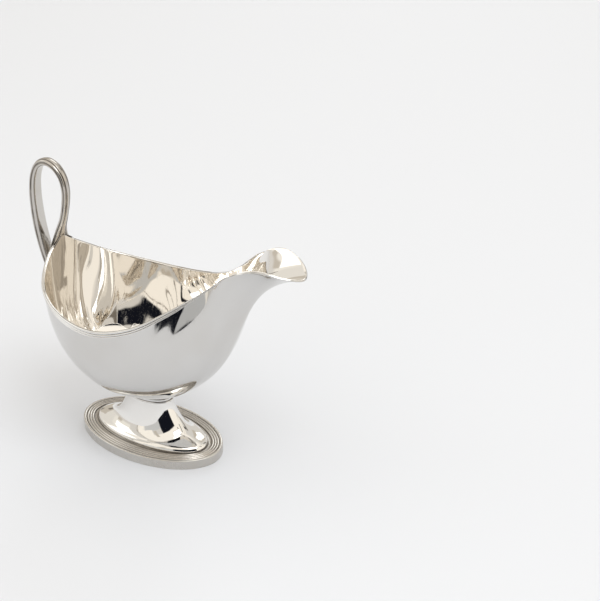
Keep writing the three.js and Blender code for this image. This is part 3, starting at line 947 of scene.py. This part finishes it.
def soft_box(name, position, size, power):
    """A square area light that looks at the middle of the boat."""
    data = bpy.data.lights.new(name, "AREA")
    data.size = size
    data.energy = power
    data.color = LIGHT_COLOUR
    light = bpy.data.objects.new(name, data)
    light.location = position
    heading = boat_middle - Vector(position)
    light.rotation_euler = heading.to_track_quat("-Z", "Y").to_euler()
    bpy.context.scene.collection.objects.link(light)


WARM_WHITE = (1.08, 1.03, 0.95)
CREAM = (1.08, 1.02, 0.92)
IVORY = (0.93, 0.89, 0.81)
LINEN = (0.83, 0.795, 0.73)
HAZE = (0.63, 0.63, 0.62)
PEARL = (0.74, 0.71, 0.66)
TAN = (0.6, 0.545, 0.465)
STONE = (0.44, 0.4, 0.345)
BROWN = (0.2, 0.175, 0.145)
BLACK = (0.008, 0.009, 0.014)

# What stands round the table: (bearing from +X towards +Y, half width, lowest, highest, softness,
# colour), the first five in degrees. Later ones stand in front of earlier ones.
PANELS = [
    (85, 40, -90, 56, 6, PEARL),
    (-60, 44, -90, 30, 3, PEARL),
    (-90, 22, -90, 12, 2, HAZE),
    (175, 24, 6, 42, 4, LINEN),
    (-150, 26, 6, 50, 4, IVORY),
    (-165, 40, -90, 7, 3, PEARL),
    (-160, 6, 4, 13, 2, TAN),
    (141, 15, -20, 43, 1, TAN),
    (148, 3, -20, 12, 1, BROWN),
    (134, 1.5, -20, 38, 0.5, STONE),
    (160, 8, 42, 53, 1, STONE),
    (116, 4, 34, 51, 1, STONE),
    (107, 4, 30, 47, 1, TAN),
    (92, 4, 20, 50, 1, TAN),
    (67, 3, -5, 36, 1, BROWN),
    (-129, 6.5, -4, 62, 0.7, PEARL),
    (-123.5, 0.8, -4, 62, 0.4, STONE),
    (-104, 5, 10, 40, 1, CREAM),
    (-94, 3, 14, 40, 1, TAN),
    (-47, 31, -60, 30, 1, BLACK),
    (-38, 3, 42, 52, 1, STONE),
    (-1, 2.5, 35, 42, 1, BLACK),
    (12, 7, -5, 44, 1, CREAM),
    (24, 2.5, 27, 53, 1, BLACK),
    (45, 7, 8, 60, 1, CREAM),
    (39, 0.6, 8, 60, 0.3, BROWN),
    (49, 0.5, 22, 60, 0.3, STONE),
    (57.5, 5, 25, 35, 0.7, BLACK),
]


def studio():
    """A pale room with upright panels round the table. The camera sees an even backdrop instead."""
    world = bpy.data.worlds.new("studio")
    world.use_nodes = True
    nodes = Nodes(world.node_tree)
    background = world.node_tree.nodes["Background"]
    direction = nodes.add("ShaderNodeTexCoord").outputs["Generated"]
    height = nodes.maths("ARCSINE", nodes.add("ShaderNodeSeparateXYZ", {0: direction}).outputs[2])
    overhead = nodes.mapped(height, *OVERHEAD, 0.0, 1.0)
    colour = nodes.mixed(overhead, (*CREAM, 1), (*WARM_WHITE, 1))
    for bearing, *spans, shade in PANELS:
        turn = {"Vector": direction, "Rotation": (0, 0, math.radians(-bearing))}
        turned = nodes.add("ShaderNodeMapping", turn).outputs[0]
        parts = nodes.add("ShaderNodeSeparateXYZ", {0: turned}).outputs
        off = nodes.maths("ABSOLUTE", nodes.maths("ARCTAN2", parts[1], parts[0]))
        half, low, high, soft = (math.radians(span) for span in spans)
        inside = nodes.mapped(off, half - soft, half + soft, 1.0, 0.0)
        above = nodes.mapped(height, low - soft, low + soft, 0.0, 1.0)
        under = nodes.mapped(height, high - soft, high + soft, 1.0, 0.0)
        mask = nodes.maths("MULTIPLY", inside, nodes.maths("MULTIPLY", above, under))
        colour = nodes.mixed(mask, colour, (*shade, 1))
    seen = nodes.add("ShaderNodeLightPath").outputs["Is Camera Ray"]
    colour = nodes.mixed(seen, colour, BACKDROP)
    world.node_tree.links.new(colour, background.inputs["Color"])
    bpy.context.scene.world = world


def camera():
    data = bpy.data.cameras.new("camera")
    data.lens = CAMERA_LENS
    data.sensor_width = 36
    eye = bpy.data.objects.new("camera", data)
    eye.location = place(CAMERA_PLACE)
    eye.rotation_euler = (math.pi / 2 - CAMERA_TILT, 0, CAMERA_TURN)
    bpy.context.scene.collection.objects.link(eye)
    bpy.context.scene.camera = eye


floor()
for light_settings in LIGHTS:
    soft_box(*light_settings)
studio()
camera()
bpy.context.scene.view_settings.view_transform = "Standard"
# Light runs many times round the inside of the bowl before it leaves.
bpy.context.scene.cycles.glossy_bounces = 14
bpy.context.scene.cycles.max_bounces = 16
